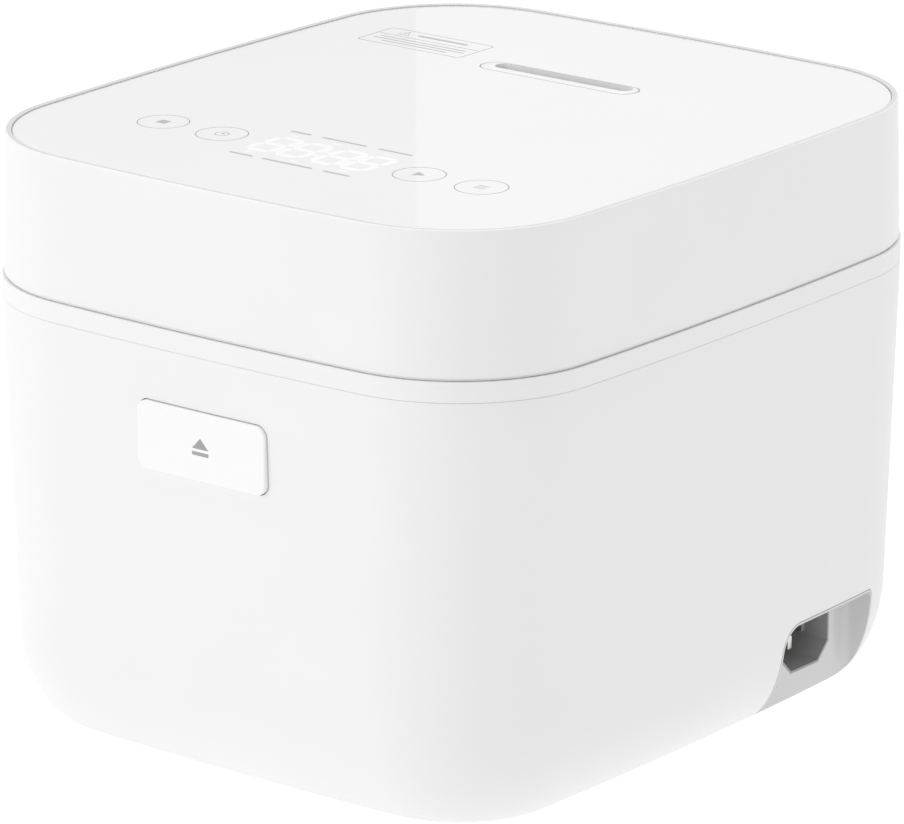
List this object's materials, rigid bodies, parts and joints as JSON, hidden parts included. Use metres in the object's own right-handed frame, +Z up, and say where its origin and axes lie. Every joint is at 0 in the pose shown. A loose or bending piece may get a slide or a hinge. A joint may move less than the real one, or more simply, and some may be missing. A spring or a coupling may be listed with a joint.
{
  "type": "rice cooker",
  "caption": "Table-top rice cooker with a bowed rectangular body, rear-hinged lid with touch panel and steam slot, front open button, lift-out pot and side mains inlet.",
  "frame": {"origin": "on the resting surface, below the middle of the object's box", "axes": "+Z up; -Y is the front with the open button, +Y the hinge at the back; +X is the side with the mains inlet"},
  "size_m": [0.212, 0.2407, 0.1876],
  "materials": {
    "shell_white": "fine satin moulded",
    "frame_white": "fine satin moulded",
    "cover_grey": "matte moulded",
    "foot_rubber": "matte",
    "screw_steel": "zinc plated",
    "pot_coating": "dark non-stick coating inside, brushed aluminium outside",
    "shield_steel": "satin",
    "plate_cast": "cast and turned",
    "element_steel": "heat tinted",
    "bracket_steel": "satin",
    "cap_aluminium": "satin",
    "spring_steel": "bright drawn wire",
    "fuse_body": "bright",
    "board_green": "solder mask",
    "transformer_core": "varnished laminations",
    "relay_case": "smooth",
    "capacitor_can": "shrink sleeve",
    "inlet_dark": "moulded",
    "pin_brass": "nickel plated",
    "recess_white": "satin moulded",
    "pin_steel": "ground",
    "cover_white": "fine satin moulded",
    "button_white": "fine satin moulded",
    "bracket_plastic": "moulded",
    "hook_plastic": "moulded",
    "lid_white": "fine satin moulded",
    "panel_gloss": "polished touch panel",
    "trim_white": "satin moulded",
    "valve_plastic": "moulded",
    "lid_inner_white": "moulded",
    "heat_plate_aluminium": "rolled",
    "inner_lid_aluminium": "pressed and brushed",
    "gasket_silicone": "translucent silicone",
    "clip_plastic": "moulded",
    "display_case": "diffusing"
  },
  "bodies": {
    "base": {"outer_shell": "shell_white", "rim_frame": "frame_white", "base_cover": "cover_grey", "feet": "foot_rubber", "base_screws": "screw_steel", "inner_pot": "pot_coating", "heat_shield": "shield_steel", "heating_plate": "plate_cast", "heating_element": "element_steel", "plate_supports": "bracket_steel", "sensor_bracket": "bracket_steel", "sensor_spring": "spring_steel", "thermal_fuse": "fuse_body", "power_board": "board_green", "transformer": "transformer_core", "relay": "relay_case", "capacitors": "capacitor_can", "inlet_housing": "inlet_dark", "inlet_pins": "pin_brass", "inlet_recess": "recess_white", "hinge_bracket": "frame_white", "hinge_pin": "pin_steel", "hinge_springs": "spring_steel", "hinge_cover": "cover_white", "button_springs": "spring_steel", "latch_bracket": "bracket_plastic", "latch_pin": "pin_steel", "latch_spring": "spring_steel"},
    "lid": {"lid_shell": "lid_white", "lid_deck": "lid_inner_white", "top_panel": "panel_gloss", "vent_trim": "trim_white", "steam_valve": "valve_plastic", "lid_inner": "lid_inner_white", "lid_heat_plate": "heat_plate_aluminium", "lid_sensor": "cap_aluminium", "inner_lid": "inner_lid_aluminium", "inner_lid_gasket": "gasket_silicone", "lid_catch": "bracket_steel", "lid_screws": "screw_steel", "touch_board": "board_green", "display_module": "display_case"},
    "sensor": {"sensor_cap": "cap_aluminium"},
    "button": {"open_button": "button_white"},
    "latch": {"latch_hook": "hook_plastic"},
    "clip": {"inner_lid_clip": "clip_plastic"}
  },
  "joints": [
    {"name": "lid_hinge", "type": "hinge", "parent": "base", "child": "lid", "pos_m": [0, 0.1156, 0.15], "axis": [-1, 0, 0], "range_deg": [0, 85], "deforming": ["hinge_springs"]},
    {"name": "button_press", "type": "slide", "parent": "base", "child": "button", "axis": [0, 1, 0], "range_m": [0, 0.0022], "stiffness_N_per_m": 600, "springref_m": -0.002, "deforming": ["button_springs"]},
    {"name": "latch_turn", "type": "hinge", "parent": "base", "child": "latch", "pos_m": [0, -0.104, 0.084], "axis": [-1, 0, 0], "range_deg": [0, 4.6], "stiffness_Nm_per_rad": 0.02, "springref_deg": -5.73, "deforming": ["latch_spring"]},
    {"name": "sensor_travel", "type": "slide", "parent": "base", "child": "sensor", "axis": [0, 0, 1], "range_m": [-0.0025, 0], "stiffness_N_per_m": 400, "springref_m": 0.003, "deforming": ["sensor_spring"]},
    {"name": "clip_slide", "type": "slide", "parent": "lid", "child": "clip", "axis": [0, -1, 0], "range_m": [0, 0.003], "stiffness_N_per_m": 300, "springref_m": -0.002}
  ],
  "couplings": [
    {"joint": "latch_turn", "follows": "button_press", "rad_per_m": 35.714}
  ]
}
